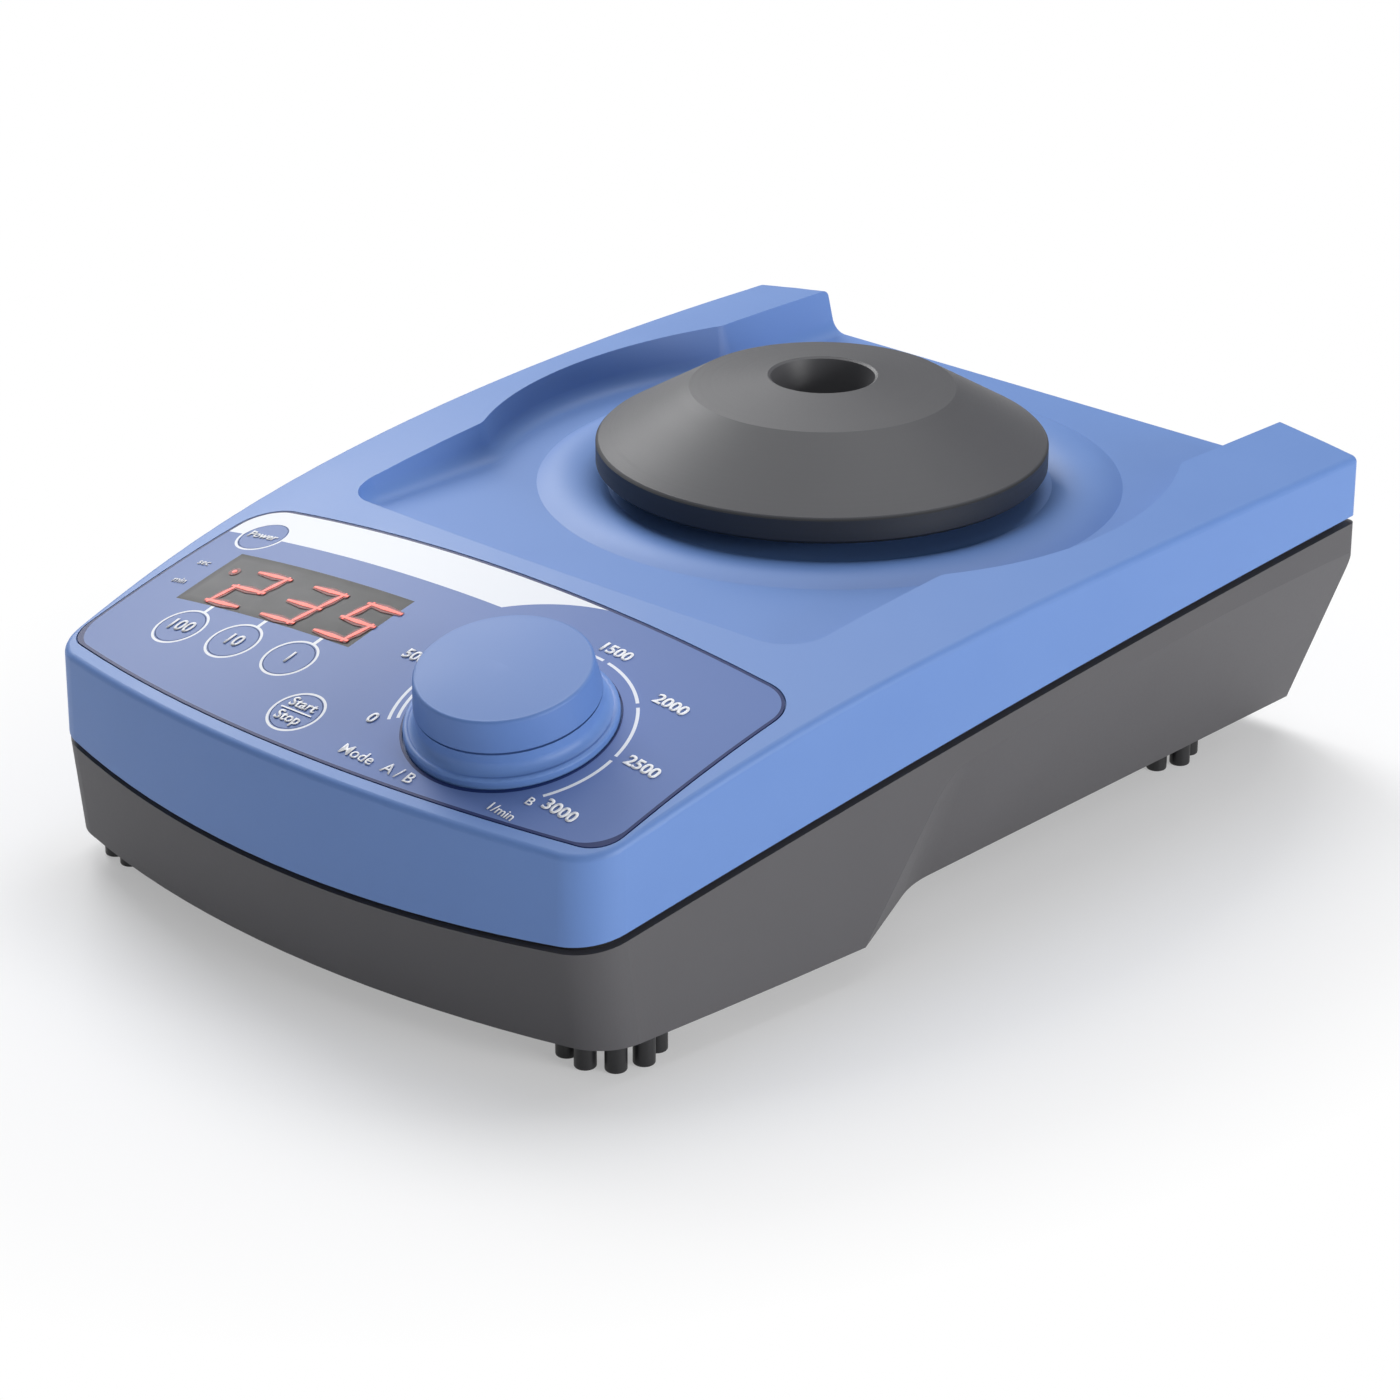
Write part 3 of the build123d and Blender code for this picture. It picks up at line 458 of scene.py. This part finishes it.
# printing on the film
def surfaceFrom(names):
    corners, faces = [], []
    for name in names:
        mesh = nodes[name].data
        start = len(corners)
        corners += [v.co.copy() for v in mesh.vertices]
        faces += [[start + i for i in p.vertices] for p in mesh.polygons]
    return BVHTree.FromPolygons(corners, faces)


printing = {"lift": 0.02 * mm, "thickness": 0.05 * mm, "reach": 0.35 * mm, "above": 200 * mm,
            "weld": 0.002 * mm, "capHeight": 0.7}
panelTop = surfaceFrom(wearers["film"] + wearers["window"])


# the highest surface under a place and just round it, so that ink spans the gap round a key
def heightAt(x, y):
    reach = printing["reach"]
    heights = []
    for dx, dy in ((0, 0), (reach, 0), (-reach, 0), (0, reach), (0, -reach)):
        hit = panelTop.ray_cast(Vector((x + dx, y + dy, printing["above"])), Vector((0, 0, -1)))
        if hit[0] is not None:
            heights.append(hit[0].z)
    return max(heights)


def deselect():
    if bpy.context.mode != "OBJECT":
        bpy.ops.object.mode_set(mode="OBJECT")
    bpy.ops.object.select_all(action="DESELECT")


def activate(piece):
    deselect()
    piece.select_set(True)
    bpy.context.view_layer.objects.active = piece


def applyPlace(piece):
    activate(piece)
    bpy.ops.object.transform_apply(location=True, rotation=True, scale=True)


def join(pieces, name):
    deselect()
    for piece in pieces:
        piece.select_set(True)
    bpy.context.view_layer.objects.active = pieces[0]
    if len(pieces) > 1:
        bpy.ops.object.join()
    pieces[0].name = name
    pieces[0].data.name = name
    return pieces[0]


# lays a flat piece on the panel, gives it its thin body of ink and hangs it on its body
def layOnPanel(piece, body, material, lift=0.0):
    for corner in piece.data.vertices:
        corner.co.z = heightAt(corner.co.x, corner.co.y) + printing["lift"] + lift + printing["thickness"]
    activate(piece)
    bpy.ops.object.mode_set(mode="EDIT")
    bpy.ops.mesh.select_all(action="SELECT")
    bpy.ops.mesh.remove_doubles(threshold=printing["weld"])
    bpy.ops.mesh.quads_convert_to_tris()
    bpy.ops.object.mode_set(mode="OBJECT")
    if sum(p.normal.z * p.area for p in piece.data.polygons) < 0:
        bpy.ops.object.mode_set(mode="EDIT")
        bpy.ops.mesh.flip_normals()
        bpy.ops.object.mode_set(mode="OBJECT")
    thicken = piece.modifiers.new("inkBody", "SOLIDIFY")
    thicken.thickness = printing["thickness"]
    thicken.offset = -1
    bpy.ops.object.modifier_apply(modifier="inkBody")
    piece.data.materials.clear()
    piece.data.materials.append(material)
    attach(piece, body)


def letters(text, x, y, height, bold):
    deselect()
    bpy.ops.object.text_add(location=(x * mm, y * mm, 0))
    piece = bpy.context.object
    piece.data.body = text
    piece.data.align_x = "CENTER"
    piece.data.align_y = "CENTER"
    piece.data.size = height * mm / printing["capHeight"]
    piece.data.offset = bold * mm
    piece.data.resolution_u = 4
    bpy.ops.object.convert(target="MESH")
    applyPlace(piece)
    return piece


dial = {
    "height": 2.4, "bold": 0.1,
    "numbers": [("0", 9.2, -86.8), ("500", 3.1, -70.8), ("1000", 10.8, -56.6), ("1500", 31.2, -51.6),
                ("2000", 48.9, -57.1), ("2500", 56.0, -71.6), ("3000", 52.4, -87.0)],
}
dialNumbers = [letters(text, x, y, dial["height"], dial["bold"]) for text, x, y in dial["numbers"]]
layOnPanel(join(dialNumbers, "dial_numbers"), "root", finishes["ink"])

panelPrint = {
    "bold": 0.03,
    "words": [("Mode", 14.0, -94.9, 2.3), ("A / B", 23.6, -94.9, 2.3), ("1/min", 44.6, -92.5, 1.8),
              ("B", 46.9, -88.2, 1.8), ("sec", -58.4, -63.1, 1.6), ("min", -58.0, -69.4, 1.6)],
}
panelWords = [letters(text, x, y, height, panelPrint["bold"]) for text, x, y, height in panelPrint["words"]]
layOnPanel(join(panelWords, "panel_words"), "root", finishes["ink"])

keyPrint = {
    "bold": 0.07, "divider": (7.2, 0.3), "dividerCuts": 3,
    "labels": {
        "key_power": [("Power", 0, 1.9)], "key_hundreds": [("100", 0, 2.9)], "key_tens": [("10", 0, 2.9)],
        "key_units": [("1", 0, 2.9)], "key_start_stop": [("Start", 1.75, 2.2), ("Stop", -1.85, 2.2)],
    },
}


# a thin bar between two words, cut up so that it can follow the panel
def divider(x, y, length, width):
    deselect()
    bpy.ops.mesh.primitive_plane_add(size=1, location=(x * mm, y * mm, 0))
    piece = bpy.context.object
    piece.scale = (length * mm, width * mm, 1)
    applyPlace(piece)
    bpy.ops.object.mode_set(mode="EDIT")
    bpy.ops.mesh.select_all(action="SELECT")
    bpy.ops.mesh.subdivide(number_cuts=keyPrint["dividerCuts"])
    bpy.ops.object.mode_set(mode="OBJECT")
    return piece


for (keyX, keyY), (name, rows) in zip(film["keys"], keyPrint["labels"].items()):
    label = [letters(text, keyX, keyY + row, height, keyPrint["bold"]) for text, row, height in rows]
    if name == "key_start_stop":
        label.append(divider(keyX, keyY, *keyPrint["divider"]))
    layOnPanel(join(label, name + "_label"), name + "_cap", finishes["ink"])
print("printing laid on the panel")


# lit digits
display = {"shown": [(-46.3, "2"), (-32.0, "3"), (-18.6, "5")], "front": -72.9, "width": 6.4, "height": 10.3,
           "slant": 0.26, "stroke": 0.8, "halo": 1.9, "gap": 0.7, "haloDepth": 0.06 * mm,
           "lit": {"2": "abged", "3": "abgcd", "5": "afgcd"},
           "dot": (-49.6, -63.9), "dotShare": 0.6, "dotSides": 20}


# one stroke, a long hexagon made of a short one whose middle corners move apart
def segment(startX, startY, endX, endY, thick):
    length = math.hypot(endX - startX, endY - startY)
    deselect()
    bpy.ops.mesh.primitive_circle_add(vertices=6, radius=1, fill_type="NGON")
    piece = bpy.context.object
    reach = ((length - display["gap"] + thick - display["stroke"]) / 2) * mm
    piece.scale = (reach, thick / 2 / math.sin(math.radians(60)) * mm, 1)
    applyPlace(piece)
    for corner in piece.data.vertices:
        corner.select = abs(corner.co.x) < reach * 0.9
    stretch = (reach - thick / 2 * mm) / (reach / 2)
    bpy.ops.object.mode_set(mode="EDIT")
    bpy.ops.transform.resize(value=(stretch, 1, 1))
    bpy.ops.object.mode_set(mode="OBJECT")
    piece.rotation_euler = (0, 0, math.atan2(endY - startY, endX - startX))
    piece.location = ((startX + endX) / 2 * mm, (startY + endY) / 2 * mm, 0)
    applyPlace(piece)
    return piece


def digit(left, shape, thick):
    low, high, wide = display["front"], display["front"] + display["height"], display["width"]
    middle = (low + high) / 2
    ends = {
        "a": ((0, high), (wide, high)), "b": ((wide, high), (wide, middle)),
        "c": ((wide, middle), (wide, low)), "d": ((0, low), (wide, low)), "e": ((0, middle), (0, low)),
        "f": ((0, high), (0, middle)), "g": ((0, middle), (wide, middle)),
    }
    made = []
    for letter in display["lit"][shape]:
        (startX, startY), (endX, endY) = ends[letter]
        startX += left + (startY - low) * display["slant"]
        endX += left + (endY - low) * display["slant"]
        made.append(segment(startX, startY, endX, endY, thick))
    return made


def dot(x, y, thick):
    deselect()
    bpy.ops.mesh.primitive_circle_add(vertices=display["dotSides"], radius=thick * display["dotShare"] * mm,
                                      fill_type="NGON", location=(x * mm, y * mm, 0))
    piece = bpy.context.object
    applyPlace(piece)
    return piece


# the halo lies under the strokes
for name, thick, finish, lift in (("digit_halo", display["halo"], "halo", 0.0),
                                  ("lit_digits", display["stroke"], "digits", display["haloDepth"])):
    segments = [piece for left, shape in display["shown"] for piece in digit(left, shape, thick)]
    segments.append(dot(*display["dot"], thick))
    layOnPanel(join(segments, name), "root", finishes[finish], lift)
print("digits laid in the window")


# floor: it takes shadows near the part and fades to plain white for the camera and in reflections
floor = {"size": 6.0, "colour": (0.93, 0.93, 0.94), "roughness": 0.9, "nearX": 100.0, "nearY": 132.0,
         "fade": 0.6, "lift": 0.36}
pureWhite = (1.0, 1.0, 1.0)
deselect()
bpy.ops.mesh.primitive_plane_add(size=floor["size"], location=(0, 0, 0))
floorPiece = bpy.context.object
floorPiece.name = "floor"
floorLook = newLook("floorWhite")
spot, x, y, z = floorLook.place()
across, along = x / floor["nearX"], y / floor["nearY"]
away = (((across * across + along * along).root() - 1.0) / floor["fade"]).math("ADD", 0.0, clamp=True)
rays = floorLook.node("ShaderNodeLightPath").outputs
looking = Wire(floorLook, rays["Is Camera Ray"]).most(Wire(floorLook, rays["Is Glossy Ray"]))
floorLook.give(Base_Color=floor["colour"], Roughness=floor["roughness"])
plainWhite = floorLook.node("ShaderNodeEmission", inputs={"Color": pureWhite, "Strength": 1.0})
floorLook.blend((away * (1.0 - floor["lift"]) + floor["lift"]) * looking, floorLook.shader.outputs[0],
                plainWhite.outputs[0])
floorPiece.data.materials.append(floorLook.owner)

# world: dim cool light for the part, plain white behind it
studio = {"colour": (0.95, 0.97, 1.0), "strength": 0.26}
world = bpy.data.worlds.new("studio")
bpy.context.scene.world = world
sky = Look(world, "Background", "World Output")
sky.give(Color=studio["colour"], Strength=studio["strength"])
backdrop = sky.node("ShaderNodeBackground", inputs={"Color": pureWhite, "Strength": 1.0})
seen = sky.node("ShaderNodeLightPath").outputs["Is Camera Ray"]
sky.blend(seen, sky.shader.outputs[0], backdrop.outputs[0])

lamps = {
    "overhead": {"place": (-0.3, 0.45, 1.25), "size": (1.2, 0.9), "power": 9.8},
    "rightSide": {"place": (1.45, 0.15, 0.3), "size": (0.7, 0.5), "power": 12.8},
    "leftBack": {"place": (-1.15, 0.45, 0.85), "size": (0.7, 0.6), "power": 11.0},
}
lampAim = Vector((0, 0, 0.03))
for name, lamp in lamps.items():
    light = bpy.data.lights.new(name, "AREA")
    light.shape = "RECTANGLE"
    light.size, light.size_y = lamp["size"]
    light.energy = lamp["power"]
    holder = bpy.data.objects.new(name, light)
    bpy.context.scene.collection.objects.link(holder)
    holder.location = lamp["place"]
    aim = lampAim - Vector(lamp["place"])
    holder.rotation_euler = aim.to_track_quat("-Z", "Y").to_euler()

view = {"place": (0.5095, -0.5543, 0.3499), "azimuth": 42.543, "elevation": 23.656, "roll": 0.102,
        "lens": 116.36, "sensor": 36.0, "shift": 0.0068, "far": 20.0}
cameraData = bpy.data.cameras.new("camera")
cameraData.lens = view["lens"]
cameraData.sensor_width = view["sensor"]
cameraData.shift_x = view["shift"]
cameraData.clip_end = view["far"]
camera = bpy.data.objects.new("camera", cameraData)
bpy.context.scene.collection.objects.link(camera)
facing = Euler((math.radians(90 - view["elevation"]), 0, math.radians(view["azimuth"])), "XYZ").to_matrix()
facing = facing @ Matrix.Rotation(math.radians(view["roll"]), 3, "Z")
camera.matrix_world = Matrix.Translation(view["place"]) @ facing.to_4x4()
bpy.context.scene.camera = camera
bpy.context.scene.view_settings.view_transform = "Standard"
print("stage set")
